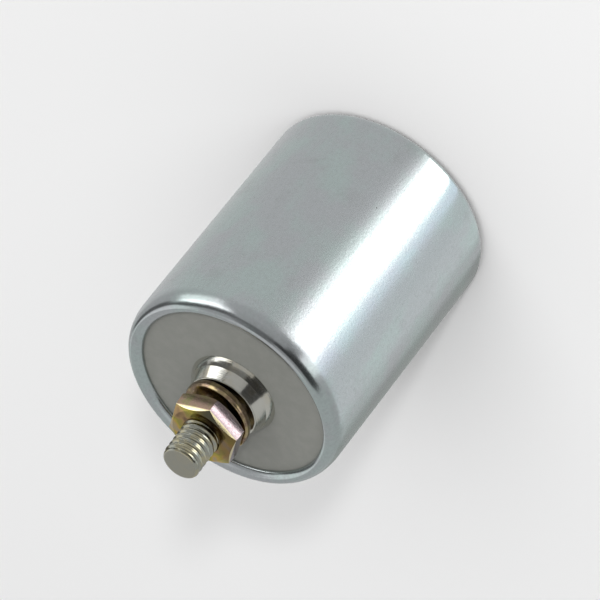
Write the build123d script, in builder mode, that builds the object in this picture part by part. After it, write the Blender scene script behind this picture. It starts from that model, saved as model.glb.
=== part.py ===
from build123d import *
from math import radians, tan
import os

# Ignition condenser, standing on the closed end of its can.
# Millimetres, +Z up along the can's axis, origin at the middle of the closed end.
os.makedirs("parts", exist_ok=True)

# Can
can_radius = 12.0
can_height = 30.0
can_wall = 0.6
base_corner = 1.5  # outer rounding of the closed end
shoulder_reach = 1.0  # how far the mouth turns inwards before the lip
shoulder_rise = 2.3  # height over which it turns
lip_radius = 10.2  # inner edge of the rolled lip
lip_round = 0.4  # height of the rounding on the lip's edge
disc_recess = 0.75  # from the lip's highest line down to the grey disc

# Terminal stack above the disc
thread_radius = 2.0  # M4, drawn at its full diameter
engaged_radius = 1.77  # stud and nut inside each other, where their flanks meet
engaged_slope = 0.2  # height over which the stud goes from one radius to the other
hole_radius = 2.05  # every plain hole that the stud passes through
hub_base_radius = 4.7
hub_waist_radius = 4.1
hub_top_radius = 3.75
hub_height = 2.15
hub_flare_height = 0.75
washer_outer_radius = 3.8
washer_thickness = 0.9
washer_rise = 0.95  # how far the split ends stand apart
washer_gap = 12  # opening between the ends, degrees
washer_turn = 15  # direction of the opening, degrees from +X
nut_across_flats = 7.0
nut_thickness = 2.2
nut_turn = 42  # direction of one corner, degrees from +X
nut_chamfer_angle = 30
nut_face_radius = 3.35  # flat ring left on each face by the chamfer
free_thread = 3.45  # full thread above the nut
stud_chamfer = 0.5

# Terminal stack below the disc
seal_thickness = 1.1
board_thickness = 1.5
board_radius = 11.25
seal_radius = 11.2
seal_chamfer = 0.45
inner_washer_radius = 5.0
inner_washer_thickness = 0.8
strip_thickness = 0.3
strip_width = 6.0
strip_reach = 4.0  # from the axis to the start of the strip's bend
strip_tail = 5.0  # lower leaf, on the side away from the bend
strip_end = 3.2  # upper leaf, on the side away from the bend
head_radius = 3.4
head_thickness = 1.0

# Roll and its contacts
lining_inner_radius = 10.85
lining_outer_radius = 11.35
roll_radius = 9.9
wrap_radius = 10.2
core_radius = 2.0
core_bore_radius = 1.2
roll_height = 19.0
spray_thickness = 0.4
plate_thickness = 0.4
earth_plate_radius = 9.8
live_plate_radius = 9.2
card_inner_radius = 9.3
card_outer_radius = 10.8
card_thickness = 1.4
spring_thickness = 0.4
spring_height = 2.0
spring_foot_radius = 9.8
spring_foot_inner_radius = 8.8
spring_crown_radius = 3.6
spring_bore_radius = 2.6
spring_slots = 6
spring_slot_width = 1.6
spring_slot_inner_radius = 5.2

# Levels, worked out from the sizes above
disc_top = can_height - disc_recess
seal_low = disc_top - seal_thickness
board_low = seal_low - board_thickness
inner_washer_low = board_low - inner_washer_thickness
strip_high = inner_washer_low
head_high = strip_high - strip_thickness
hub_high = disc_top + hub_height
nut_low = hub_high + washer_thickness + washer_rise
nut_high = nut_low + nut_thickness
stud_tip = nut_high + free_thread + stud_chamfer
spring_high = can_wall + spring_height
roll_pack_low = spring_high + plate_thickness
roll_low = roll_pack_low + spray_thickness
roll_high = roll_low + roll_height
roll_pack_high = roll_high + spray_thickness
live_plate_high = roll_pack_high + plate_thickness
shoulder_low = can_height - shoulder_rise
shoulder_radius = can_radius - shoulder_reach
bore_radius = can_radius - can_wall

# Can: a drawn cup, its mouth turned in over the disc
with BuildPart() as can:
    with BuildSketch(Plane.XZ):
        with BuildLine():
            Line((0, 0), (can_radius - base_corner, 0))
            CenterArc((can_radius - base_corner, base_corner), base_corner, -90, 90)
            Line((can_radius, base_corner), (can_radius, shoulder_low))
            EllipticalCenterArc((shoulder_radius, shoulder_low), shoulder_reach, shoulder_rise, arc_size=90)
            EllipticalCenterArc(
                (shoulder_radius, can_height - lip_round),
                shoulder_radius - lip_radius,
                lip_round,
                start_angle=90,
                arc_size=90,
            )
            Line((lip_radius, can_height - lip_round), (lip_radius, disc_top))
            Line((lip_radius, disc_top), (shoulder_radius, disc_top))
            EllipticalCenterArc(
                (shoulder_radius, shoulder_low),
                shoulder_reach - can_wall,
                disc_top - shoulder_low,
                arc_size=90,
            )
            Line((bore_radius, shoulder_low), (bore_radius, base_corner))
            CenterArc((can_radius - base_corner, base_corner), base_corner - can_wall, -90, 90)
            Line((can_radius - base_corner, can_wall), (0, can_wall))
            Line((0, can_wall), (0, 0))
        make_face()
    revolve(axis=Axis.Z)
can.part.label = "can"
export_step(can.part, "parts/can.step")

# Grey rubber face of the disc, its upper edge cut back to sit under the turned-in mouth
with BuildPart() as seal_disc:
    with BuildSketch(Plane.XY.offset(seal_low)):
        Circle(seal_radius)
        Circle(hole_radius, mode=Mode.SUBTRACT)
    extrude(amount=seal_thickness)
    chamfer(seal_disc.faces().sort_by(Axis.Z)[-1].outer_wire().edges(), seal_chamfer)
seal_disc.part.label = "seal_disc"
export_step(seal_disc.part, "parts/seal_disc.step")

# Hard-paper board under the rubber
with BuildPart() as board_disc:
    with BuildSketch(Plane.XY.offset(board_low)):
        Circle(board_radius)
        Circle(hole_radius, mode=Mode.SUBTRACT)
    extrude(amount=board_thickness)
board_disc.part.label = "board_disc"
export_step(board_disc.part, "parts/board_disc.step")

# Flared bush between the disc and the spring washer
with BuildPart() as terminal_hub:
    flare_high = disc_top + hub_flare_height
    with BuildSketch(Plane.XZ):
        with BuildLine():
            Line((hole_radius, disc_top), (hub_base_radius, disc_top))
            RadiusArc((hub_base_radius, disc_top), (hub_waist_radius, flare_high), hub_height)
            Line((hub_waist_radius, flare_high), (hub_top_radius, hub_high))
            Line((hub_top_radius, hub_high), (hole_radius, hub_high))
            Line((hole_radius, hub_high), (hole_radius, disc_top))
        make_face()
    revolve(axis=Axis.Z)
terminal_hub.part.label = "terminal_hub"
export_step(terminal_hub.part, "parts/terminal_hub.step")

# Split spring washer, one turn of a rectangular bar along a shallow left-hand helix
with BuildPart() as spring_washer:
    washer_arc = 360 - washer_gap
    bar_width = washer_outer_radius - hole_radius
    with BuildLine(Plane.XY.offset(hub_high + washer_thickness / 2)) as washer_path:
        Helix(washer_rise * 360 / washer_arc, washer_rise, hole_radius + bar_width / 2, lefthand=True)
    turn = washer_path.line
    with BuildSketch(Plane(turn @ 0, x_dir=(1, 0, 0), z_dir=turn % 0)):
        Rectangle(bar_width, washer_thickness)
    bar = sweep(path=turn, is_frenet=True, mode=Mode.PRIVATE)
    add(bar, rotation=(0, 0, washer_turn - washer_gap / 2))
spring_washer.part.label = "spring_washer"
export_step(spring_washer.part, "parts/spring_washer.step")

# Thin hexagon nut, corners chamfered on both faces
with BuildPart() as hex_nut:
    with BuildSketch(Plane.XY.offset(nut_low)):
        RegularPolygon(nut_across_flats / 2, 6, major_radius=False, rotation=nut_turn)
        Circle(engaged_radius, mode=Mode.SUBTRACT)
    extrude(amount=nut_thickness)
    cut_drop = (nut_across_flats - nut_face_radius) * tan(radians(nut_chamfer_angle))
    with BuildSketch(Plane.XZ):
        for face_level, drop in ((nut_low, cut_drop), (nut_high, -cut_drop)):
            with BuildLine():
                Polyline(
                    (nut_face_radius, face_level),
                    (nut_across_flats, face_level),
                    (nut_across_flats, face_level + drop),
                    close=True,
                )
            make_face()
    revolve(axis=Axis.Z, mode=Mode.SUBTRACT)
hex_nut.part.label = "hex_nut"
export_step(hex_nut.part, "parts/hex_nut.step")

# Terminal stud with its flat head inside the can
with BuildPart() as terminal_stud:
    with BuildSketch(Plane.XZ):
        with BuildLine():
            Polyline(
                (0, head_high - head_thickness),
                (head_radius, head_high - head_thickness),
                (head_radius, head_high),
                (thread_radius, head_high),
                (thread_radius, nut_low - engaged_slope),
                (engaged_radius, nut_low),
                (engaged_radius, nut_high),
                (thread_radius, nut_high + engaged_slope),
                (thread_radius, stud_tip - stud_chamfer),
                (thread_radius - stud_chamfer, stud_tip),
                (0, stud_tip),
                close=True,
            )
        make_face()
    revolve(axis=Axis.Z)
terminal_stud.part.label = "terminal_stud"
export_step(terminal_stud.part, "parts/terminal_stud.step")

# Washer under the board
with BuildPart() as inner_washer:
    with BuildSketch(Plane.XY.offset(inner_washer_low)):
        Circle(inner_washer_radius)
        Circle(hole_radius, mode=Mode.SUBTRACT)
    extrude(amount=inner_washer_thickness)
inner_washer.part.label = "inner_washer"
export_step(inner_washer.part, "parts/inner_washer.step")

# Folded strip from the stud's head down to the live plate
with BuildPart() as lead_strip:
    leaf_high = live_plate_high + strip_thickness
    bend_middle = (live_plate_high + strip_high) / 2
    bend_radius = (strip_high - live_plate_high) / 2
    with BuildSketch(Plane.XZ):
        with BuildLine():
            Line((-strip_tail, live_plate_high), (strip_reach, live_plate_high))
            CenterArc((strip_reach, bend_middle), bend_radius, -90, 180)
            Line((strip_reach, strip_high), (-strip_end, strip_high))
            Line((-strip_end, strip_high), (-strip_end, head_high))
            Line((-strip_end, head_high), (strip_reach, head_high))
            CenterArc((strip_reach, bend_middle), bend_radius - strip_thickness, 90, -180)
            Line((strip_reach, leaf_high), (-strip_tail, leaf_high))
            Line((-strip_tail, leaf_high), (-strip_tail, live_plate_high))
        make_face()
    extrude(amount=strip_width / 2, both=True)
    with BuildSketch(Plane.XY.offset(head_high)):
        Circle(hole_radius)
    extrude(amount=strip_thickness, mode=Mode.SUBTRACT)
lead_strip.part.label = "lead_strip"
export_step(lead_strip.part, "parts/lead_strip.step")

# Contact plate on the live end of the roll
with BuildPart() as live_plate:
    with BuildSketch(Plane.XY.offset(roll_pack_high)):
        Circle(live_plate_radius)
    extrude(amount=plate_thickness)
live_plate.part.label = "live_plate"
export_step(live_plate.part, "parts/live_plate.step")

# Card ring that keeps the live plate in the middle
with BuildPart() as top_card:
    with BuildSketch(Plane.XY.offset(roll_pack_high)):
        Circle(card_outer_radius)
        Circle(card_inner_radius, mode=Mode.SUBTRACT)
    extrude(amount=card_thickness)
top_card.part.label = "top_card"
export_step(top_card.part, "parts/top_card.step")

# Sprayed metal on the live end
with BuildPart() as live_spray:
    with BuildSketch(Plane.XY.offset(roll_high)):
        Circle(roll_radius)
        Circle(core_radius, mode=Mode.SUBTRACT)
    extrude(amount=spray_thickness)
live_spray.part.label = "live_spray"
export_step(live_spray.part, "parts/live_spray.step")

# The roll of foil and paper
with BuildPart() as winding:
    with BuildSketch(Plane.XY.offset(roll_low)):
        Circle(roll_radius)
        Circle(core_radius, mode=Mode.SUBTRACT)
    extrude(amount=roll_height)
winding.part.label = "winding"
export_step(winding.part, "parts/winding.step")

# Sprayed metal on the earth end
with BuildPart() as earth_spray:
    with BuildSketch(Plane.XY.offset(roll_pack_low)):
        Circle(roll_radius)
        Circle(core_radius, mode=Mode.SUBTRACT)
    extrude(amount=spray_thickness)
earth_spray.part.label = "earth_spray"
export_step(earth_spray.part, "parts/earth_spray.step")

# Card tube in the middle of the roll
with BuildPart() as winding_core:
    with BuildSketch(Plane.XY.offset(roll_pack_low)):
        Circle(core_radius)
        Circle(core_bore_radius, mode=Mode.SUBTRACT)
    extrude(amount=roll_pack_high - roll_pack_low)
winding_core.part.label = "winding_core"
export_step(winding_core.part, "parts/winding_core.step")

# Paper wrap round the roll
with BuildPart() as winding_wrap:
    with BuildSketch(Plane.XY.offset(roll_pack_low)):
        Circle(wrap_radius)
        Circle(roll_radius, mode=Mode.SUBTRACT)
    extrude(amount=roll_pack_high - roll_pack_low)
winding_wrap.part.label = "winding_wrap"
export_step(winding_wrap.part, "parts/winding_wrap.step")

# Wax between the wrap and the lining
with BuildPart() as wax_layer:
    with BuildSketch(Plane.XY.offset(roll_pack_low)):
        Circle(lining_inner_radius)
        Circle(wrap_radius, mode=Mode.SUBTRACT)
    extrude(amount=roll_pack_high - roll_pack_low)
wax_layer.part.label = "wax_layer"
export_step(wax_layer.part, "parts/wax_layer.step")

# Card tube that lines the can and carries the disc
with BuildPart() as lining_tube:
    with BuildSketch(Plane.XY.offset(base_corner)):
        Circle(lining_outer_radius)
        Circle(lining_inner_radius, mode=Mode.SUBTRACT)
    extrude(amount=board_low - base_corner)
lining_tube.part.label = "lining_tube"
export_step(lining_tube.part, "parts/lining_tube.step")

# Contact plate on the earth end
with BuildPart() as earth_plate:
    with BuildSketch(Plane.XY.offset(spring_high)):
        Circle(earth_plate_radius)
    extrude(amount=plate_thickness)
earth_plate.part.label = "earth_plate"
export_step(earth_plate.part, "parts/earth_plate.step")

# Dished spring plate in the bottom of the can, slotted from its rim
with BuildPart() as contact_spring:
    foot_high = can_wall + spring_thickness
    crown_low = spring_high - spring_thickness
    slot_length = spring_foot_radius - spring_slot_inner_radius
    with BuildSketch(Plane.XZ):
        with BuildLine():
            Polyline(
                (spring_foot_radius, can_wall),
                (spring_foot_inner_radius, can_wall),
                (spring_crown_radius, crown_low),
                (spring_bore_radius, crown_low),
                (spring_bore_radius, spring_high),
                (spring_crown_radius, spring_high),
                (spring_foot_inner_radius, foot_high),
                (spring_foot_radius, foot_high),
                close=True,
            )
        make_face()
    revolve(axis=Axis.Z)
    with BuildSketch(Plane.XY.offset(can_wall)):
        with PolarLocations(spring_slot_inner_radius + slot_length, spring_slots):
            SlotOverall(2 * slot_length, spring_slot_width)
    extrude(amount=spring_height, mode=Mode.SUBTRACT)
contact_spring.part.label = "contact_spring"
export_step(contact_spring.part, "parts/contact_spring.step")
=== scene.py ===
import math
import bpy
import bmesh
from mathutils import Matrix, Vector, noise


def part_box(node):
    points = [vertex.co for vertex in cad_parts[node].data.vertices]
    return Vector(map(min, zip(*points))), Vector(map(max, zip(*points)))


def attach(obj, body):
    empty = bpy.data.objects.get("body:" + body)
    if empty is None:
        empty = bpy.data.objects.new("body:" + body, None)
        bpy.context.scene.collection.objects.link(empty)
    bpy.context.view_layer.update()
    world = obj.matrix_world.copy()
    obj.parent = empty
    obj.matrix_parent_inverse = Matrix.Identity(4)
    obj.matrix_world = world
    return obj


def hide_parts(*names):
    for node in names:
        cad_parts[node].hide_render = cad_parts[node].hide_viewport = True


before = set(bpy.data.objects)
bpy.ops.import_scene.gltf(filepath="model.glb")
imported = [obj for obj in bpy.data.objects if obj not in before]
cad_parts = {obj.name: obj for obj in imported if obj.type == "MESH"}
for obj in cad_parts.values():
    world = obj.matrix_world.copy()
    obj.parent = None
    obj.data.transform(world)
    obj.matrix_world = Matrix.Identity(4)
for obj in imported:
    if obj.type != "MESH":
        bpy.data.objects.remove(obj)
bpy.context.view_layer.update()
print("frame loaded")

mm = 0.001
turn = 2 * math.pi
hair = 0.001  # millimetres, an allowance for rounding
samePoint = 1e-6  # millimetres, outline points nearer than this are one
weldGap = 1e-7  # metres, corners nearer than this are joined


# Levels and radii in millimetres, read from the CAD nodes
def reach(node):
    low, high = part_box(node)
    return high.x / mm, low.z / mm, high.z / mm


canRadius, canLow, canHigh = reach("can")
discRadius, discLow, discTop = reach("seal_disc")
hubBaseRadius, hubLow, hubHigh = reach("terminal_hub")
nutLow, nutHigh = reach("hex_nut")[1:]
headRadius, headLow, studTip = reach("terminal_stud")


# Shapes: outlines are lists of (radius, height) points in millimetres
def arc(middle, reachOut, reachUp, fromAngle, toAngle, steps):
    points = []
    for step in range(steps + 1):
        angle = math.radians(fromAngle + (toAngle - fromAngle) * step / steps)
        points.append((middle[0] + reachOut * math.cos(angle), middle[1] + reachUp * math.sin(angle)))
    return points


def rows(start, end, steps):
    return [
        (start[0] + (end[0] - start[0]) * step / steps, start[1] + (end[1] - start[1]) * step / steps)
        for step in range(steps + 1)
    ]


def clean(outline):
    # leaves out a point that repeats the one before it, and a last one that repeats the first
    kept = [outline[0]]
    for point in outline[1:]:
        if math.dist(point, kept[-1]) > samePoint:
            kept.append(point)
    if math.dist(kept[0], kept[-1]) < samePoint:
        kept.pop()
    return kept


# The terminal stack sits a little off the middle and leans, as it does in the photograph
stackSettings = {
    "offset": (-0.16, 0.0),  # millimetres
    "lean": (-0.024, 0.030),  # millimetres sideways for each millimetre above the disc
}


def leanStack(work):
    for corner in work.verts:
        above = corner.co.z / mm - discTop
        if above > -hair:
            for axis in (0, 1):
                shift = stackSettings["offset"][axis] + stackSettings["lean"][axis] * above
                corner.co[axis] += shift * mm


def makePiece(name, build, node, sharpAngle=35, inStack=False):
    work = bmesh.new()
    build(work)
    if inStack:
        leanStack(work)
    bmesh.ops.remove_doubles(work, verts=work.verts, dist=weldGap)
    bmesh.ops.dissolve_degenerate(work, edges=work.edges, dist=weldGap)
    bmesh.ops.recalc_face_normals(work, faces=work.faces)
    mesh = bpy.data.meshes.new(name)
    work.to_mesh(mesh)
    work.free()
    for face in mesh.polygons:
        face.use_smooth = True
    mesh.set_sharp_from_angle(angle=math.radians(sharpAngle))
    piece = bpy.data.objects.new(name, mesh)
    bpy.context.collection.objects.link(piece)
    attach(piece, "root")
    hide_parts(node)
    return piece


def spin(work, outline, steps, shape=None):
    # turns an outline about the axis; shape may move a point by its angle, radius and height
    outline = clean(outline)
    rings = []
    for radius, height in outline:
        if radius < samePoint:
            rings.append([work.verts.new((0, 0, height * mm))])
            continue
        ring = []
        for step in range(steps):
            angle = turn * step / steps
            out, up = shape(angle, radius, height) if shape else (radius, height)
            ring.append(work.verts.new((out * mm * math.cos(angle), out * mm * math.sin(angle), up * mm)))
        rings.append(ring)
    closed = outline[0][0] > samePoint
    pairs = list(zip(rings, rings[1:])) + ([(rings[-1], rings[0])] if closed else [])
    for first, second in pairs:
        for step in range(steps):
            after = (step + 1) % steps
            corners = [first[step % len(first)], first[after % len(first)]]
            corners += [second[after % len(second)], second[step % len(second)]]
            distinct = list(dict.fromkeys(corners))
            if len(distinct) > 2:
                work.faces.new(distinct)


# Finishes: a Wire is one node output, and sums on it add Math nodes
class Wire:
    def __init__(self, finish, socket):
        self.finish = finish
        self.socket = socket

    def __add__(self, other):
        return self.finish.maths("ADD", self, other)

    def __radd__(self, other):
        return self.finish.maths("ADD", other, self)

    def __sub__(self, other):
        return self.finish.maths("SUBTRACT", self, other)

    def __rsub__(self, other):
        return self.finish.maths("SUBTRACT", other, self)

    def __mul__(self, other):
        return self.finish.maths("MULTIPLY", self, other)

    def __rmul__(self, other):
        return self.finish.maths("MULTIPLY", other, self)


class Finish:
    def __init__(self, name, fixed):
        self.material = bpy.data.materials.new(name)
        self.material.use_nodes = True
        self.tree = self.material.node_tree
        self.shader = self.tree.nodes["Principled BSDF"]
        for key, value in fixed.items():
            self.shader.inputs[key].default_value = value
        place = self.add("ShaderNodeTexCoord", out="Object")
        self.spot = self.scaled(place, (1 / mm, 1 / mm, 1 / mm))  # position in millimetres
        self.x, self.y, self.z = self.parts(self.spot)
        normal = self.add("ShaderNodeTexCoord", out="Normal")
        self.facingX, self.facingY, self.facingZ = self.parts(normal)

    def add(self, kind, settings=None, sockets=None, out=0):
        node = self.tree.nodes.new(kind)
        for key, value in (settings or {}).items():
            if key == "stops":
                elements = node.color_ramp.elements
                while len(elements) < len(value):
                    elements.new(1)
                for element, (place, shade) in zip(elements, value):
                    element.position = place
                    element.color = shade
            else:
                setattr(node, key, value)
        for key, value in (sockets or {}).items():
            self.feed(node.inputs[key], value)
        return Wire(self, node.outputs[out])

    def feed(self, socket, value):
        if isinstance(value, Wire):
            self.tree.links.new(value.socket, socket)
        else:
            socket.default_value = value

    def maths(self, operation, *values):
        return self.add("ShaderNodeMath", {"operation": operation}, dict(enumerate(values)))

    def scaled(self, vector, by):
        return self.add("ShaderNodeVectorMath", {"operation": "MULTIPLY"}, {0: vector, 1: by})

    def parts(self, vector):
        # the three numbers of a vector
        apart = self.add("ShaderNodeSeparateXYZ", sockets={0: vector}).socket.node
        return [Wire(self, output) for output in apart.outputs]

    def mix(self, mask, first, second):
        # a Mix node takes colours at its sockets 6 and 7 and gives one at its output 2
        return self.add("ShaderNodeMix", {"data_type": "RGBA"}, {0: mask, 6: first, 7: second}, out=2)

    def cloud(self, vector, scale=1.0, detail=3.0, roughness=0.5):
        sockets = {"Vector": vector, "Scale": scale, "Detail": detail, "Roughness": roughness}
        return self.add("ShaderNodeTexNoise", sockets=sockets)

    def step(self, value, start, end):
        # 0 up to start, 1 from end on, smooth between; end may be the lower of the two
        settings = {"interpolation_type": "SMOOTHSTEP"}
        return self.add("ShaderNodeMapRange", settings, {"Value": value, "From Min": start, "From Max": end})

    def specks(self, scale, size, share):
        # round dots in a share of the cells, soft over their outer half
        cells = self.add("ShaderNodeTexVoronoi", sockets={"Vector": self.spot, "Scale": scale})
        lot = self.add("ShaderNodeSeparateColor", sockets={0: Wire(self, cells.socket.node.outputs["Color"])})
        return (1 - self.step(cells, size / 2, size)) * self.maths("LESS_THAN", lot, share)

    def paint(self, **surface):
        # surface holds what changes over the piece, by socket name with no blanks
        for key, value in surface.items():
            spaced = "".join(" " + letter if letter.isupper() else letter for letter in key).strip()
            self.feed(self.shader.inputs[spaced], value)

    def bump(self, height, depth):
        self.feed(self.shader.inputs["Normal"], self.add("ShaderNodeBump", sockets={
            "Height": height,
            "Distance": depth * mm,
        }))


def colour(red, green, blue):
    return (red, green, blue, 1.0)


def dress(piece, material):
    piece.data.materials.clear()
    piece.data.materials.append(material)


white = colour(1, 1, 1)
cloudMiddle = 0.5  # the value that a cloud varies about

# In the finishes, a scale counts the lumps of a cloud in a millimetre, and a stretch does so for x, y and z.
# A band holds the values between which a mask goes from 0 to 1.

# Can: plated drawn steel, rim rolled in over the disc
canSettings = {
    "wall": 0.6,
    "baseCorner": 1.5,
    "shoulderReach": 1.0,
    "shoulderRise": 2.3,
    "lipRadius": 10.2,
    "lipShift": 0.28,  # the mouth was rolled in unevenly, less on one side
    "lipDirection": 245,  # degrees from +X
    "lipRound": 0.62,
    "lipDraft": 0.08,  # how much wider the lip is where it meets the disc
    "wobble": 0.015,  # how far the drawn wall strays from a true round
    "wobbleAround": 1.3,  # how quickly it strays round the wall
    "wobbleAlong": 0.07,  # and along it
    "wobbleHeight": 3,  # from the foot up to here the wobble grows
    "turnSteps": 240,
    "plating": colour(0.47, 0.545, 0.535),
    "platingPink": colour(0.48, 0.505, 0.52),
    "platingDull": colour(0.36, 0.385, 0.38),
    "speck": colour(0.05, 0.045, 0.04),
    "streakStretch": (5.5, 5.5, 0.25),  # drawn lines along the can
    "hueStretch": (0.2, 0.2, 0.14),
    "hueBand": (0.38, 0.62),
    "grainScale": 3.0,
    "stainScale": 0.3,
    "stainBand": (0.55, 0.75),
    "pitScale": 0.5,
    "pitSize": 0.045,  # of a cell
    "pitShare": 0.3,
    "stainDull": 0.3,  # how much each of these dulls the plating
    "streakDull": 0.25,
    "grainDull": 0.9,
    "streakStart": 0.4,  # streaks and grain dull it above these values
    "grainStart": 0.42,
    "polishDepth": 1.0,  # below the rim; the rolling polished the mouth, fully down to here
    "roughness": 0.26,
    "rimRoughness": 0.2,
    "streakRough": 0.05,
    "stainRough": 0.03,
    "grainRough": 0.2,
    "grainPolish": 0.14,  # what the polish takes off the grain's roughness
    "pitRough": 0.25,
    "streakBump": 0.08,
    "grainFlat": 0.85,  # the share of the grain's height that the polish takes off
    "bumpDepth": 0.014,
}


def buildCan(work):
    s = canSettings
    shoulderRadius = canRadius - s["shoulderReach"]
    shoulderLow = canHigh - s["shoulderRise"]
    shoulderMiddle = (shoulderRadius, shoulderLow)
    innerRadius = canRadius - s["wall"]
    innerReach = s["shoulderReach"] - s["wall"]
    corner = (canRadius - s["baseCorner"], canLow + s["baseCorner"])
    innerCorner = s["baseCorner"] - s["wall"]
    lipMiddle = (shoulderRadius, canHigh - s["lipRound"])
    lipFoot = (s["lipRadius"] + s["lipDraft"], discTop)
    outline = rows((0, canLow), (corner[0], canLow), steps=6)
    outline += arc(corner, s["baseCorner"], s["baseCorner"], -90, 0, steps=14)
    outline += rows((canRadius, corner[1]), (canRadius, shoulderLow), steps=26)
    outline += arc(shoulderMiddle, s["shoulderReach"], s["shoulderRise"], 0, 90, steps=20)
    outline += arc(lipMiddle, shoulderRadius - s["lipRadius"], s["lipRound"], 90, 180, steps=14)
    outline += rows((s["lipRadius"], lipMiddle[1]), lipFoot, steps=2)
    outline += rows(lipFoot, (shoulderRadius, discTop), steps=2)
    outline += arc(shoulderMiddle, innerReach, discTop - shoulderLow, 90, 0, steps=8)
    outline += [(innerRadius, corner[1])]
    outline += arc(corner, innerCorner, innerCorner, 0, -90, steps=6)
    outline += [(0, canLow + s["wall"])]

    def stray(angle, radius, height):
        across, deep = math.cos(angle) * s["wobbleAround"], math.sin(angle) * s["wobbleAround"]
        lump = noise.noise(Vector((across, deep, height * s["wobbleAlong"])))
        wobble = s["wobble"] * lump * min(1, height / s["wobbleHeight"])
        uneven = s["lipShift"] * math.cos(angle - math.radians(s["lipDirection"]))
        inwards = (shoulderRadius - radius) / (shoulderRadius - s["lipRadius"])
        onLip = min(1, max(0, inwards)) if height > discTop - hair else 0
        return radius + wobble + uneven * onLip, height

    spin(work, outline, s["turnSteps"], stray)


def canFinish():
    s = canSettings
    f = Finish("canPlating", {"Metallic": 1.0})
    streaks = f.cloud(f.scaled(f.spot, s["streakStretch"]), detail=4.0, roughness=0.6)
    hue = f.cloud(f.scaled(f.spot, s["hueStretch"]), detail=5.0, roughness=0.6)
    grain = f.cloud(f.spot, s["grainScale"], roughness=0.6)
    stains = f.step(f.cloud(f.spot, s["stainScale"], detail=5.0, roughness=0.6), *s["stainBand"])
    pits = f.specks(s["pitScale"], s["pitSize"], s["pitShare"])
    tint = f.mix(f.step(hue, *s["hueBand"]), s["plating"], s["platingPink"])
    dull = s["stainDull"] * stains
    dull = dull + s["streakDull"] * (streaks - s["streakStart"])
    dull = dull + s["grainDull"] * (grain - s["grainStart"])
    tint = f.mix(dull, tint, s["platingDull"])
    tint = f.mix(pits, tint, s["speck"])
    rim = f.step(f.z, canHigh - s["shoulderRise"], canHigh - s["polishDepth"])
    rough = rim * (s["rimRoughness"] - s["roughness"]) + s["roughness"]
    rough = rough + s["streakRough"] * (streaks - cloudMiddle)
    rough = rough + s["stainRough"] * stains
    rough = rough + (s["grainRough"] - s["grainPolish"] * rim) * (grain - cloudMiddle)
    f.paint(BaseColor=tint, Roughness=rough + s["pitRough"] * pits)
    f.bump(s["streakBump"] * streaks + (1 - s["grainFlat"] * rim) * grain - pits, s["bumpDepth"])
    return f.material


can = makePiece("plated_can", buildCan, "can", sharpAngle=40)
dress(can, canFinish())
print("can made")

# Disc: grey rubber face, dished a little between the bush and the lip
discSettings = {
    "boreRadius": 2.05,
    "dish": 0.03,
    "gapRadius": 10.35,  # where the face drops away under the lip
    "gapDepth": 0.03,
    "sideHeight": 0.5,  # the outer side is upright to here, then leans in
    "sideLean": 0.3,
    "faceSteps": 20,
    "turnSteps": 192,
    "rubber": colour(0.207, 0.211, 0.193),
    "rubberLight": colour(0.226, 0.229, 0.210),
    "rubberDark": colour(0.175, 0.178, 0.164),
    "shine": 0.35,
    "mottleScale": 0.9,
    "mottleBand": (0.35, 0.7),
    "grainScale": 14.0,
    "dustScale": 2.6,
    "dustBand": (0.6, 0.75),
    "dustShare": 0.35,
    "roughness": 0.52,
    "mottleRough": 0.16,
    "grainRough": 0.05,
    "mottleBump": 0.8,
    "bumpDepth": 0.012,
}


def buildDisc(work):
    s = discSettings
    face = []
    for step in range(s["faceSteps"] + 1):
        radius = hubBaseRadius + (s["gapRadius"] - hubBaseRadius) * step / s["faceSteps"]
        face.append((radius, discTop - s["dish"] * math.sin(math.pi * step / s["faceSteps"])))
    edge = arc((s["gapRadius"], discTop - s["gapDepth"]), s["gapDepth"], s["gapDepth"], 90, 0, steps=5)
    outline = [(s["boreRadius"], discLow), (discRadius, discLow), (discRadius, discLow + s["sideHeight"])]
    outline += [(discRadius - s["sideLean"], discTop - s["gapDepth"])]
    outline += edge[::-1] + face[::-1] + [(s["boreRadius"], discTop)]
    spin(work, outline, s["turnSteps"])


def discFinish():
    s = discSettings
    f = Finish("greyRubber", {"Metallic": 0.0, "Specular IOR Level": s["shine"]})
    mottle = f.cloud(f.spot, s["mottleScale"], detail=5.0, roughness=0.6)
    grain = f.cloud(f.spot, s["grainScale"], detail=2.0, roughness=0.7)
    tint = f.mix(f.step(mottle, *s["mottleBand"]), s["rubber"], s["rubberLight"])
    dust = f.step(f.cloud(f.spot, s["dustScale"], detail=4.0, roughness=0.65), *s["dustBand"])
    tint = f.mix(s["dustShare"] * dust, tint, s["rubberDark"])
    rough = s["roughness"] + s["mottleRough"] * (mottle - cloudMiddle) + s["grainRough"] * grain
    f.paint(BaseColor=tint, Roughness=rough)
    f.bump(grain + s["mottleBump"] * mottle, s["bumpDepth"])
    return f.material


disc = makePiece("rubber_disc", buildDisc, "seal_disc")
dress(disc, discFinish())
print("disc made")

# Bush: bright plated, flared at its foot
hubSettings = {
    "boreRadius": 2.05,
    "footChamfer": 0.03,
    "footHeight": 0.06,
    "waistRadius": 4.25,
    "flareHeight": 0.9,
    "flareBulge": 0.022,  # how far the flare swells between its foot and its edge line
    "topRadius": 3.75,
    "topRound": 0.12,
    "turnSteps": 160,
    "nickel": colour(0.60, 0.60, 0.55),
    "nickelWarm": colour(0.58, 0.53, 0.40),
    "lineStretch": (0.35, 0.35, 9.0),  # turning marks
    "warmScale": 0.8,
    "warmBand": (0.45, 0.75),
    "warmShare": 0.6,
    "roughness": 0.09,
    "lineRough": 0.1,
    "bumpDepth": 0.004,
}


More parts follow.
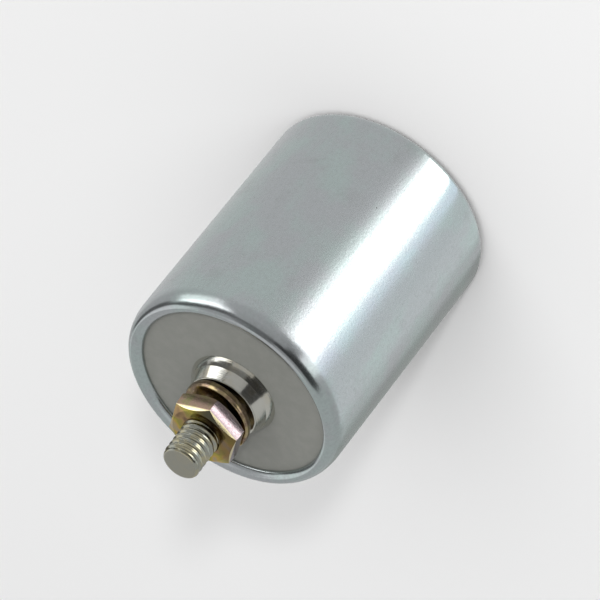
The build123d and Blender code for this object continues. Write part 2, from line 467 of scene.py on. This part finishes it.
def buildHub(work):
    s = hubSettings
    flareTop = hubLow + s["flareHeight"]
    chamfer = s["footChamfer"]
    flare = []
    foot = (hubBaseRadius, hubLow + s["footHeight"])
    for radius, height in rows(foot, (s["waistRadius"], flareTop), steps=12):
        swell = s["flareBulge"] * math.sin(math.pi * (height - hubLow - s["footHeight"]) / s["flareHeight"])
        flare.append((radius + swell, height + swell))
    outline = [(s["boreRadius"], hubLow), (hubBaseRadius - chamfer, hubLow)]
    outline += [(hubBaseRadius, hubLow + chamfer)] + flare
    outline += rows((s["waistRadius"], flareTop), (s["topRadius"], hubHigh - s["topRound"]), steps=4)
    topMiddle = (s["topRadius"] - s["topRound"], hubHigh - s["topRound"])
    outline += arc(topMiddle, s["topRound"], s["topRound"], 0, 90, steps=5) + [(s["boreRadius"], hubHigh)]
    spin(work, outline, s["turnSteps"])


def hubFinish():
    s = hubSettings
    f = Finish("brightBush", {"Metallic": 1.0})
    lines = f.cloud(f.scaled(f.spot, s["lineStretch"]))
    warm = f.step(f.cloud(f.spot, s["warmScale"]), *s["warmBand"])
    tint = f.mix(s["warmShare"] * warm, s["nickel"], s["nickelWarm"])
    f.paint(BaseColor=tint, Roughness=s["roughness"] + s["lineRough"] * lines)
    f.bump(lines, s["bumpDepth"])
    return f.material


hub = makePiece("flared_bush", buildHub, "terminal_hub", sharpAngle=9, inStack=True)
dress(hub, hubFinish())
print("bush made")

# Spring washer: one split turn of bar with a bulged outer side, its ends sprung apart
washerSettings = {
    "innerRadius": 2.1,
    "outerRadius": 3.8,
    "thickness": 0.9,
    "cornerRound": 0.06,
    "barrel": 28,  # degrees the outer side turns up and down
    "gapDirection": 15,  # degrees from +X
    "gapAngle": 12,
    "highDirection": 190,  # it sits askew, highest on this side
    "askew": 0.35,  # shares of the room between bush and nut
    "sprung": 0.3,
    "turnSteps": 150,
    "bronze": colour(0.25, 0.18, 0.12),
    "gold": colour(0.42, 0.34, 0.18),
    "rose": colour(0.56, 0.42, 0.36),
    "patchScale": 0.7,
    "goldBand": (0.4, 0.6),
    "fineScale": 6.0,
    "roseBand": (0.55, 0.75),
    "roughness": 0.17,
    "fineRough": 0.12,
    "bumpDepth": 0.0015,
}


def washerSection():
    s = washerSettings
    halfWide = (s["outerRadius"] - s["innerRadius"]) / 2
    halfHigh = s["thickness"] / 2 - s["cornerRound"]
    bulge = halfHigh / math.sin(math.radians(s["barrel"]))
    points = arc((halfWide - bulge, 0), bulge, bulge, -s["barrel"], s["barrel"], steps=12)
    outerX = points[-1][0] - s["cornerRound"] * math.cos(math.radians(s["barrel"]))
    innerX = s["cornerRound"] - halfWide
    corners = [
        (outerX, halfHigh, s["barrel"], 90),
        (innerX, halfHigh, 90, 180),
        (innerX, -halfHigh, 180, 270),
        (outerX, -halfHigh, -90, -s["barrel"]),
    ]
    for x, z, fromAngle, toAngle in corners:
        points += arc((x, z), s["cornerRound"], s["cornerRound"], fromAngle, toAngle, steps=3)
    return clean(points)


def buildWasher(work):
    s = washerSettings
    steps = s["turnSteps"]
    middle = (s["outerRadius"] + s["innerRadius"]) / 2
    lowest = hubHigh + s["thickness"] / 2
    highest = nutLow - s["thickness"] / 2
    sweep = 360 - s["gapAngle"]
    rings = []
    for step in range(steps + 1):
        angle = math.radians(s["gapDirection"] - s["gapAngle"] / 2 - sweep * step / steps)
        share = 0.5 + s["askew"] * math.cos(angle - math.radians(s["highDirection"]))
        share += s["sprung"] * (step / steps - 0.5)
        level = lowest + (highest - lowest) * share
        ring = []
        for across, up in washerSection():
            out = (middle + across) * mm
            ring.append(work.verts.new((out * math.cos(angle), out * math.sin(angle), (level + up) * mm)))
        rings.append(ring)
    count = len(rings[0])
    for first, second in zip(rings, rings[1:]):
        for corner in range(count):
            after = (corner + 1) % count
            work.faces.new((first[corner], first[after], second[after], second[corner]))
    work.faces.new(rings[0][::-1])
    work.faces.new(rings[-1])


def washerFinish():
    s = washerSettings
    f = Finish("washerPassivation", {"Metallic": 1.0})
    patch = f.cloud(f.spot, s["patchScale"])
    fine = f.cloud(f.spot, s["fineScale"])
    tint = f.mix(f.step(patch, *s["goldBand"]), s["bronze"], s["gold"])
    tint = f.mix(f.step(fine, *s["roseBand"]), tint, s["rose"])
    f.paint(BaseColor=tint, Roughness=s["roughness"] + s["fineRough"] * (fine - cloudMiddle))
    f.bump(fine, s["bumpDepth"])
    return f.material


washer = makePiece(
    "split_washer", buildWasher, "spring_washer", sharpAngle=40, inStack=True
)
dress(washer, washerFinish())
print("washer made")

# Nut: thin hexagon, yellow passivated with a shimmer of rose and green; painted shade darkens one side of its
# faces and its chamfers that face -Y
nutSettings = {
    "acrossFlats": 7.0,
    "cornerDirection": 42,  # degrees from +X
    "faceRadius": 3.18,
    "chamferAngle": 30,
    "boreRadius": 1.72,
    "countersink": 0.35,
    "edgeRound": 0.04,
    "edgeAngle": 22,  # degrees, edges that turn more than this are rounded
    "domeDepth": 1.35,  # the flats curve in a little from here to the outer face
    "domeIn": 0.11,
    "rollDepth": 0.46,  # and roll over this far from each face
    "rollSlope": 0.21,
    "rollBend": 0.12,  # height over which the flat goes into the roll
    "sideSteps": 30,
    "turnSteps": 240,
    "shimmer": [  # the film's colours on the faces, from its thin to its thick places
        (0.0, colour(0.22, 0.14, 0.08)),
        (0.25, colour(0.40, 0.27, 0.12)),
        (0.42, colour(0.34, 0.29, 0.08)),
        (0.56, colour(0.41, 0.36, 0.07)),
        (0.7, colour(0.54, 0.37, 0.10)),
        (0.88, colour(0.43, 0.35, 0.22)),
    ],
    "patchScale": 0.42,
    "swirlScale": 0.9,
    "scratchStretch": (3.0, 3.0, 14.0),
    "grainScale": 9.0,
    "filmStart": 0.3,  # the film's mean thickness at the bore, as a place on the shimmer
    "filmOutwards": 0.13,  # what it gains in each millimetre outwards
    "filmPatch": 2.4,
    "filmSwirl": 0.5,
    "paintedFaceShade": colour(0.15, 0.09, 0.05),
    "shadeDirection": (-0.59, -0.81),  # the side of the faces that gets painted shade, standing in for the dark stud they mirror there
    "shadeBand": (0.6, 2.0),  # millimetres towards that side
    "shadeShare": 0.7,
    "mauve": colour(0.54, 0.38, 0.29),
    "mauveGreen": colour(0.44, 0.42, 0.20),
    "greenBand": (0.45, 0.75),
    "rose": colour(0.37, 0.27, 0.29),
    "rosePale": colour(0.52, 0.44, 0.45),
    "roseBand": (0.4, 0.62),
    "chamferShadeGreen": colour(0.06, 0.07, 0.05),
    "straw": colour(0.68, 0.60, 0.36),
    "mauveFacing": (0.0, 0.3),  # flats are mauve where they face +X this much, and rose elsewhere; partly the film's hue, partly painted light set for how bright each side looks
    "chamferShadeFacing": (-0.3, -0.45),  # chamfers get painted shade, near black with a green hue, where they face -Y this much
    "strawSlope": (0.15, 0.3),  # rolls, chamfers and faces begin where a surface tips up or down this much
    "chamferSlope": (0.42, 0.5),
    "faceSlope": (0.93, 0.98),
    "roughness": 0.15,
    "scratchRough": 0.2,
    "grainRough": 0.1,
    "grainBump": 0.5,
    "bumpDepth": 0.0025,
}


def buildNut(work):
    s = nutSettings
    slope = math.tan(math.radians(s["chamferAngle"]))
    rise, height = s["countersink"], nutHigh - nutLow
    profile = [("bore", nutLow + rise), ("mouth", nutLow), ("face", nutLow)]
    count = s["sideSteps"]
    profile += [("side", (1 - math.cos(math.pi * step / count)) / 2) for step in range(count + 1)]
    profile += [("face", nutHigh), ("mouth", nutHigh), ("bore", nutHigh - rise)]
    radii = {"bore": s["boreRadius"], "mouth": s["boreRadius"] + rise, "face": s["faceRadius"]}
    steps = s["turnSteps"]
    flatAngle = 360 / 6
    rings = []
    for kind, level in profile:
        ring = []
        for step in range(steps):
            angle = 360 * step / steps
            fromFlat = (angle - s["cornerDirection"]) % flatAngle - flatAngle / 2
            side = s["acrossFlats"] / 2 / math.cos(math.radians(fromFlat))
            out, up = radii.get(kind, side), level
            if kind == "side":
                lowDrop = max(0, side - s["rollSlope"] * s["rollDepth"] - s["faceRadius"]) * slope
                highDrop = lowDrop - s["domeIn"] * slope
                up = nutLow + lowDrop + (height - lowDrop - highDrop) * level
                past = max(0, s["rollDepth"] - min(up - nutLow, nutHigh - up))
                bend = s["rollBend"]
                out = side - s["rollSlope"] * (past * past / 2 / bend if past < bend else past - bend / 2)
                out -= s["domeIn"] * (max(0, s["domeDepth"] - (nutHigh - up)) / s["domeDepth"]) ** 2
            radian = math.radians(angle)
            ring.append(work.verts.new((out * mm * math.cos(radian), out * mm * math.sin(radian), up * mm)))
        rings.append(ring)
    for first, second in zip(rings, rings[1:] + rings[:1]):
        for step in range(steps):
            after = (step + 1) % steps
            work.faces.new((first[step], first[after], second[after], second[step]))


def nutFinish():
    s = nutSettings
    f = Finish("nutPassivation", {"Metallic": 1.0})
    patch = f.cloud(f.spot, s["patchScale"], detail=2.0)
    swirl = f.cloud(f.spot, s["swirlScale"], roughness=0.6)
    scratch = f.cloud(f.scaled(f.spot, s["scratchStretch"]), roughness=0.6)
    grain = f.cloud(f.spot, s["grainScale"], roughness=0.7)
    reachOut = f.maths("SQRT", f.x * f.x + f.y * f.y)
    film = s["filmOutwards"] * (reachOut - s["boreRadius"])
    film = film + s["filmPatch"] * (patch - cloudMiddle)
    film = film + s["filmSwirl"] * (swirl - cloudMiddle) + s["filmStart"]
    faces = f.add("ShaderNodeValToRGB", {"stops": s["shimmer"]}, {0: film})
    # painted shade: the faces darken brown towards one side, in place of the dark stud they mirror
    shadedSide = f.x * s["shadeDirection"][0] + f.y * s["shadeDirection"][1]
    faces = f.mix(s["shadeShare"] * f.step(shadedSide, *s["shadeBand"]), faces, s["paintedFaceShade"])
    dull = f.mix(f.step(swirl, *s["greenBand"]), s["mauve"], s["mauveGreen"])
    bright = f.mix(f.step(grain, *s["roseBand"]), s["rosePale"], s["rose"])
    # the flats' tint by facing is partly the film's hue, partly painted light
    sides = f.mix(f.step(f.facingX, *s["mauveFacing"]), bright, dull)
    tipped = f.maths("ABSOLUTE", f.facingZ)
    sides = f.mix(f.step(tipped, *s["strawSlope"]), sides, s["straw"])
    # painted shade: chamfers facing -Y are made near black green
    chamfers = f.mix(f.step(f.facingY, *s["chamferShadeFacing"]), faces, s["chamferShadeGreen"])
    tint = f.mix(f.step(tipped, *s["chamferSlope"]), sides, chamfers)
    tint = f.mix(f.step(tipped, *s["faceSlope"]), tint, faces)
    rough = s["roughness"] + s["scratchRough"] * (scratch - cloudMiddle)
    f.paint(BaseColor=tint, Roughness=rough + s["grainRough"] * (grain - cloudMiddle))
    f.bump(scratch + s["grainBump"] * grain, s["bumpDepth"])
    return f.material


nut = makePiece("thin_nut", buildNut, "hex_nut", sharpAngle=25, inStack=True)
soften = nut.modifiers.new("soften", "BEVEL")
soften.width = nutSettings["edgeRound"] * mm
soften.segments = 2
soften.limit_method = "ANGLE"
soften.angle_limit = math.radians(nutSettings["edgeAngle"])
soften.harden_normals = True
dress(nut, nutFinish())
print("nut made")

# Stud: rolled M4 thread, flat tip, flat head inside the can
studSettings = {
    "threadRadius": 2.0,
    "pitch": 0.7,
    "threadDepth": 0.26,
    "crestShare": 0.2,  # of the pitch, the width of the flat on the crest
    "rootShare": 0.2,
    "shankRadius": 1.98,
    "shankStep": 0.05,  # height over which the shank widens to the thread
    "headThickness": 1.0,
    "headChamfer": 0.15,
    "headTopChamfer": 0.1,
    "tipChamfer": 0.32,
    "tipStretch": 1.4,  # the tip's rounded edge is this many times as high as it is wide
    "rowsPerPitch": 20,
    "turnSteps": 96,
    "zinc": colour(0.37, 0.38, 0.33),
    "zincDull": colour(0.36, 0.355, 0.305),
    "straw": colour(0.45, 0.42, 0.29),
    "patchScale": 0.9,
    "strawBand": (0.42, 0.62),
    "fineScale": 7.0,
    "dullBand": (0.5, 0.75),
    "tipDull": 0.8,
    "tipBand": (0.03, 0.01),  # millimetres below the tip
    "roughness": 0.1,
    "fineRough": 0.12,
    "tipRough": 0.22,
    "bumpDepth": 0.002,
}


def buildStud(work):
    s = studSettings
    headTop = headLow + s["headThickness"]
    threadLow = hubHigh
    lower, upper = s["headChamfer"], s["headTopChamfer"]
    outline = [(0, headLow), (headRadius - lower, headLow), (headRadius, headLow + lower)]
    outline += [(headRadius, headTop - upper), (headRadius - upper, headTop), (s["shankRadius"], headTop)]
    shankTop = (s["shankRadius"], threadLow - s["shankStep"])
    outline += rows((s["shankRadius"], headTop + upper), shankTop, steps=4)
    steps = s["turnSteps"]
    spin(work, outline + [(s["threadRadius"], threadLow)], steps)
    spin(work, rows((0, studTip), (s["threadRadius"] - s["tipChamfer"], studTip), steps=4), steps)

    def place(step, row):
        height = threadLow + s["pitch"] * (row / s["rowsPerPitch"] + step / steps)
        height = min(max(height, threadLow), studTip)
        phase = ((height - threadLow) / s["pitch"] - step / steps) % 1
        fromCrest = abs(2 * phase - 1)  # 0 on the crest, 1 in the root
        cut = (fromCrest - s["crestShare"]) / (1 - s["crestShare"] - s["rootShare"])
        runIn = min(1, (height - threadLow) / s["pitch"], (studTip - height) / s["tipChamfer"])
        out = s["threadRadius"] - s["threadDepth"] * min(1, max(0, cut)) * runIn
        fromTip = min(1, (studTip - height) / (s["tipChamfer"] * s["tipStretch"]))
        cap = s["threadRadius"] - s["tipChamfer"] * (1 - math.sqrt(1 - (1 - fromTip) ** 2))
        angle = turn * step / steps
        return min(cap, out) * mm * math.cos(angle), min(cap, out) * mm * math.sin(angle), height * mm

    # each row follows the helix, so the last corner of a turn is the first of the row one pitch up
    first = -s["rowsPerPitch"]
    last = math.ceil((studTip - threadLow) / s["pitch"] * s["rowsPerPitch"])
    grid = [[work.verts.new(place(step, row)) for step in range(steps + 1)] for row in range(first, last + 1)]
    for low, high in zip(grid, grid[1:]):
        for step in range(steps):
            work.faces.new((low[step], low[step + 1], high[step + 1], high[step]))


def studFinish():
    s = studSettings
    f = Finish("studPlating", {"Metallic": 1.0})
    patch = f.cloud(f.spot, s["patchScale"])
    fine = f.cloud(f.spot, s["fineScale"], detail=4.0, roughness=0.6)
    tint = f.mix(f.step(patch, *s["strawBand"]), s["zinc"], s["straw"])
    tint = f.mix(f.step(fine, *s["dullBand"]), tint, s["zincDull"])
    tip = f.step(f.z, *(studTip - below for below in s["tipBand"]))
    tint = f.mix(s["tipDull"] * tip, tint, s["zincDull"])
    f.paint(BaseColor=tint, Roughness=s["roughness"] + s["fineRough"] * fine + s["tipRough"] * tip)
    f.bump(fine, s["bumpDepth"])
    return f.material


stud = makePiece("threaded_stud", buildStud, "terminal_stud", sharpAngle=50, inStack=True)
dress(stud, studFinish())
print("stud made")

# Pieces inside the can keep their CAD shapes and get finishes of their own
insideSettings = {
    "mottleBand": (0.35, 0.65),
    "fineScale": 8.0,
    "fineRough": 0.15,
    "fineBump": 0.5,
    "bumpDepth": 0.01,
}

# for each finish: light and dark colour, metallic, roughness, and the stretch of its mottling
insideFinishes = {
    "hardPaper": (colour(0.30, 0.17, 0.08), colour(0.22, 0.12, 0.05), 0.0, 0.45, (0.6, 3.0, 3.0)),
    "card": (colour(0.46, 0.36, 0.23), colour(0.38, 0.29, 0.18), 0.0, 0.75, (1.0, 4.0, 0.6)),
    "wrapPaper": (colour(0.42, 0.31, 0.18), colour(0.34, 0.24, 0.13), 0.0, 0.7, (2.5, 2.5, 0.3)),
    "wax": (colour(0.62, 0.50, 0.28), colour(0.52, 0.40, 0.20), 0.0, 0.4, (0.5, 0.5, 0.5)),
    "foilRoll": (colour(0.62, 0.62, 0.61), colour(0.48, 0.46, 0.42), 0.9, 0.35, (3.0, 3.0, 0.2)),
    "sprayedMetal": (colour(0.46, 0.46, 0.45), colour(0.34, 0.34, 0.33), 0.9, 0.65, (4.0, 4.0, 4.0)),
    "tinnedBrass": (colour(0.62, 0.58, 0.47), colour(0.55, 0.48, 0.32), 1.0, 0.3, (1.5, 1.5, 1.5)),
    "tinnedCopper": (colour(0.64, 0.62, 0.58), colour(0.58, 0.46, 0.36), 1.0, 0.3, (1.0, 3.0, 1.0)),
    "bareSteel": (colour(0.52, 0.52, 0.51), colour(0.42, 0.42, 0.41), 1.0, 0.33, (2.0, 2.0, 2.0)),
    "springSteel": (colour(0.40, 0.40, 0.41), colour(0.30, 0.30, 0.33), 1.0, 0.3, (3.0, 1.0, 1.0)),
}
insidePieces = {
    "hardPaper": ["board_disc"],
    "card": ["top_card", "winding_core", "lining_tube"],
    "wrapPaper": ["winding_wrap"],
    "wax": ["wax_layer"],
    "foilRoll": ["winding"],
    "sprayedMetal": ["live_spray", "earth_spray"],
    "tinnedBrass": ["live_plate", "earth_plate"],
    "tinnedCopper": ["lead_strip"],
    "bareSteel": ["inner_washer"],
    "springSteel": ["contact_spring"],
}


def insideFinish(name, light, dark, metallic, roughness, stretch):
    s = insideSettings
    f = Finish(name, {"Metallic": metallic})
    mottle = f.cloud(f.scaled(f.spot, stretch), detail=5.0, roughness=0.6)
    fine = f.cloud(f.spot, s["fineScale"], detail=2.0)
    tint = f.mix(f.step(mottle, *s["mottleBand"]), light, dark)
    f.paint(BaseColor=tint, Roughness=roughness + s["fineRough"] * (fine - cloudMiddle))
    f.bump(mottle + s["fineBump"] * fine, s["bumpDepth"])
    return f.material


for name, nodes in insidePieces.items():
    finish = insideFinish(name, *insideFinishes[name])
    for node in nodes:
        dress(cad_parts[node], finish)
print("inside pieces finished")

# Camera: the photograph's view, with the can standing and the picture turned
viewSettings = {
    "elevation": 35.4,  # degrees above the plane of the can's mouth
    "roll": -141.6,  # degrees the picture is turned
    "distance": 480.0,  # millimetres
    "focalPixels": 4953.0,  # focal length, in pixels of the picture
    "rimPixel": (227.9, 396.6),  # where the middle of the rim falls in the picture
    "pictureSize": 600,
    "sensor": 36.0,
    "clipStart": 0.01,  # metres
    "clipEnd": 20,
}


def placeCamera():
    s = viewSettings
    tilt = math.radians(s["elevation"])
    roll = math.radians(s["roll"])
    forward = Vector((0, math.cos(tilt), -math.sin(tilt)))
    levelUp = Vector((0, math.sin(tilt), math.cos(tilt)))
    levelRight = Vector((1, 0, 0))
    right = levelRight * math.cos(roll) + levelUp * math.sin(roll)
    up = levelUp * math.cos(roll) - levelRight * math.sin(roll)
    middle = s["pictureSize"] / 2
    across = (s["rimPixel"][0] - middle) / s["focalPixels"] * s["distance"]
    down = (s["rimPixel"][1] - middle) / s["focalPixels"] * s["distance"]
    rim = Vector((0, 0, canHigh))
    place = (rim - right * across + up * down - forward * s["distance"]) * mm
    data = bpy.data.cameras.new("view")
    data.sensor_width = s["sensor"]
    data.lens = s["focalPixels"] / s["pictureSize"] * s["sensor"]
    data.clip_start = s["clipStart"]
    data.clip_end = s["clipEnd"]
    camera = bpy.data.objects.new("view", data)
    bpy.context.collection.objects.link(camera)
    turned = Matrix((right, up, -forward)).transposed().to_4x4()
    camera.matrix_world = Matrix.Translation(place) @ turned
    bpy.context.scene.camera = camera


placeCamera()

# Stage: a pale floor, two soft lamps, and cards that only the metal's reflections see
stageSettings = {
    "floor": colour(0.88, 0.88, 0.88),
    "floorHalf": 3.0,  # metres
    "world": 0.40,
    "worldShine": 0.58,  # what metal sees of it
    "lampAim": (0, 0, 0.02),  # metres
    "stripReach": 75,  # millimetres from the can's foot
    "stripHeight": 0.05,  # millimetres above the floor
    "stripSteps": 4,
    "stripBend": {"share": 0.4, "start": 4, "most": 6},  # degrees, fitted to the photograph
    "sectorHeight": 0.04,
    "sectorSteps": 3,
    "mouth": (0.0, 0.0, 0.031),  # metres, the cards in the air stand round this
    "cardDistance": 0.45,
    "cardRows": 6,
    "cardColumns": 8,
}

# lamps: place and size in metres, power in watts
lampSettings = {
    "broadLamp": {"place": (0.30, -1.00, 1.05), "size": 2.0, "power": 19.4},
    "frontLamp": {"place": (0.10, -1.21, 0.71), "size": 0.10, "power": 6.3},
}

# squares on the floor: half the side in metres, height in millimetres, and how bright
floorSquares = {
    "nearFloor": (0.06, 0.03, 0.70),
    "farFloor": (stageSettings["floorHalf"], 0.02, 0.55),
}

# strips on the floor: from and to in degrees from the front towards -X, how bright, and the tint
floorStrips = {
    "hazeStrip": (-1, 2, 0.84, white),
    "dawnStrip": (2, 5, 1.4, white),
    "whiteStrip": (5, 19, 3.0, white),
    "paleStrip": (19, 26, 1.4, colour(0.84, 0.90, 1)),
    "fadingStrip": (26, 38, 0.86, colour(0.96, 1, 1)),
    "softStrip": (38, 53, 0.92, colour(0.97, 1, 1)),
    "shadeStrip": (63, 92, 0.42, colour(0.97, 1, 0.96)),
}

# sectors of the floor: how near and far in millimetres, turn from and to in degrees from +X, and how bright
floorSectors = {
    "sideFloor": (110, 450, -37, 4, 1.5),
    "frontFloor": (80, 450, 222, 242, 1.5),
    "duskFloor": (80, 450, 242, 266, 0.45),
}

# cards in the air: turn from and to in degrees from +X, height from and to in degrees, and how bright
airCards = {
    "lowDark": (210, 256, 5, 22, 0.06),
    "frontGlow": (222, 242, -4, 5, 1.5),
    "frontDusk": (242, 266, -4, 5, 0.3),
    "highDark": (207, 268, 18, 43, 0.045),
    "paleHigh": (200, 268, 43, 66, 0.45),
    "fadingDark": (268, 318, 20, 70, 0.2),
    "greyCard": (256, 314, -3, 22, 0.5),
    "sideGlow": (-37, 4, -3, 5, 2.8),
    "sideFade": (-45, -37, -3, 5, 1.1),
    "hubGlow": (-46, -4, 5, 11, 2.6),
    "duskCard": (-50, 14, 11, 34, 0.14),
    "paleDusk": (-62, 14, 34, 62, 0.5),
    "turnDark": (14, 60, -2, 20, 0.14),
    "lipLight": (10, 70, 24, 52, 1.0),
    "backGlow": (62, 80, 3, 22, 0.8),
    "highLight": (0, 360, 66, 89, 0.75),
}


def flatMesh(name, grid, finish):
    work = bmesh.new()
    corners = [[work.verts.new(place) for place in line] for line in grid]
    for near, far in zip(corners, corners[1:]):
        for step in range(len(near) - 1):
            work.faces.new((near[step], near[step + 1], far[step + 1], far[step]))
    mesh = bpy.data.meshes.new(name)
    work.to_mesh(mesh)
    work.free()
    card = bpy.data.objects.new(name, mesh)
    bpy.context.collection.objects.link(card)
    dress(card, finish)
    return card


def squareGrid(half, height):
    return [[(x, y, height) for x in (-half, half)] for y in (-half, half)]


def floorFinish():
    material = bpy.data.materials.new("paleFloor")
    material.use_nodes = True
    shader = material.node_tree.nodes["Principled BSDF"]
    shader.inputs["Base Color"].default_value = stageSettings["floor"]
    shader.inputs["Roughness"].default_value = 1.0
    shader.inputs["Specular IOR Level"].default_value = 0.0
    return material


def glowFinish(name, strength, tint):
    # glows only for rays that have met nothing dull on their way, so it throws no light on the floor
    material = bpy.data.materials.new(name)
    material.use_nodes = True
    tree = material.node_tree
    tree.nodes.clear()
    path = tree.nodes.new("ShaderNodeLightPath")
    shiny = tree.nodes.new("ShaderNodeMath")
    shiny.operation = "LESS_THAN"
    shiny.inputs[1].default_value = 0.5  # between no dull surface and one
    level = tree.nodes.new("ShaderNodeMath")
    level.operation = "MULTIPLY"
    level.inputs[1].default_value = strength
    glow = tree.nodes.new("ShaderNodeEmission")
    glow.inputs["Color"].default_value = tint
    out = tree.nodes.new("ShaderNodeOutputMaterial")
    tree.links.new(path.outputs["Diffuse Depth"], shiny.inputs[0])
    tree.links.new(shiny.outputs[0], level.inputs[0])
    tree.links.new(level.outputs[0], glow.inputs["Strength"])
    tree.links.new(glow.outputs[0], out.inputs["Surface"])
    return material


def glowCard(name, grid, strength, tint=white):
    card = flatMesh(name, grid, glowFinish(name, strength, tint))
    card.visible_camera = False
    card.visible_diffuse = False
    card.visible_transmission = False
    card.visible_shadow = False


def floorStrip(name, fromSide, toSide, strength, tint):
    s = stageSettings
    bend = s["stripBend"]
    lines = []
    for far in (0, 1):
        line = []
        for step in range(s["stripSteps"] + 1):
            side = fromSide + (toSide - fromSide) * step / s["stripSteps"]
            foot = math.radians(side)
            # a wall that is turned by some angle turns its reflections by twice that
            away = math.radians(2 * side + min(bend["most"], bend["share"] * (side - bend["start"])))
            beyond = s["stripReach"] * far
            x = -(canRadius * math.sin(foot) + beyond * math.sin(away))
            y = -(canRadius * math.cos(foot) + beyond * math.cos(away))
            line.append((x * mm, y * mm, s["stripHeight"] * mm))
        lines.append(line)
    glowCard(name, lines, strength, tint)


def floorSector(name, near, far, fromTurn, toTurn, strength):
    s = stageSettings
    lines = []
    for away in (near, far):
        line = []
        for step in range(s["sectorSteps"] + 1):
            way = math.radians(fromTurn + (toTurn - fromTurn) * step / s["sectorSteps"])
            line.append((away * mm * math.cos(way), away * mm * math.sin(way), s["sectorHeight"] * mm))
        lines.append(line)
    glowCard(name, lines, strength)


def airCard(name, fromTurn, toTurn, fromHeight, toHeight, strength):
    s = stageSettings
    lines = []
    for row in range(s["cardRows"] + 1):
        height = math.radians(fromHeight + (toHeight - fromHeight) * row / s["cardRows"])
        level = math.cos(height)
        line = []
        for column in range(s["cardColumns"] + 1):
            around = math.radians(fromTurn + (toTurn - fromTurn) * column / s["cardColumns"])
            way = Vector((math.cos(around) * level, math.sin(around) * level, math.sin(height)))
            line.append(Vector(s["mouth"]) + way * s["cardDistance"])
        lines.append(line)
    glowCard(name, lines, strength)


def areaLamp(name, place, size, power):
    data = bpy.data.lights.new(name, "AREA")
    data.shape = "DISK"
    data.size = size
    data.energy = power
    lamp = bpy.data.objects.new(name, data)
    bpy.context.collection.objects.link(lamp)
    lamp.location = place
    aim = Vector(stageSettings["lampAim"]) - Vector(place)
    lamp.rotation_euler = aim.to_track_quat("-Z", "Y").to_euler()
    lamp.visible_glossy = False


def worldLight():
    world = bpy.data.worlds.new("paleRoom")
    world.use_nodes = True
    background = world.node_tree.nodes["Background"]
    background.inputs["Color"].default_value = white
    path = world.node_tree.nodes.new("ShaderNodeLightPath")
    level = world.node_tree.nodes.new("ShaderNodeMapRange")
    level.inputs["To Min"].default_value = stageSettings["world"]
    level.inputs["To Max"].default_value = stageSettings["worldShine"]
    world.node_tree.links.new(path.outputs["Is Glossy Ray"], level.inputs["Value"])
    world.node_tree.links.new(level.outputs[0], background.inputs["Strength"])
    bpy.context.scene.world = world


flatMesh("paleFloor", squareGrid(stageSettings["floorHalf"], 0), floorFinish())
for name, (half, height, strength) in floorSquares.items():
    glowCard(name, squareGrid(half, height * mm), strength)
for name, settings in floorStrips.items():
    floorStrip(name, *settings)
for name, settings in airCards.items():
    airCard(name, *settings)
for name, settings in floorSectors.items():
    floorSector(name, *settings)
for name, settings in lampSettings.items():
    areaLamp(name, **settings)
worldLight()
bpy.context.scene.view_settings.view_transform = "Standard"
print("stage set")
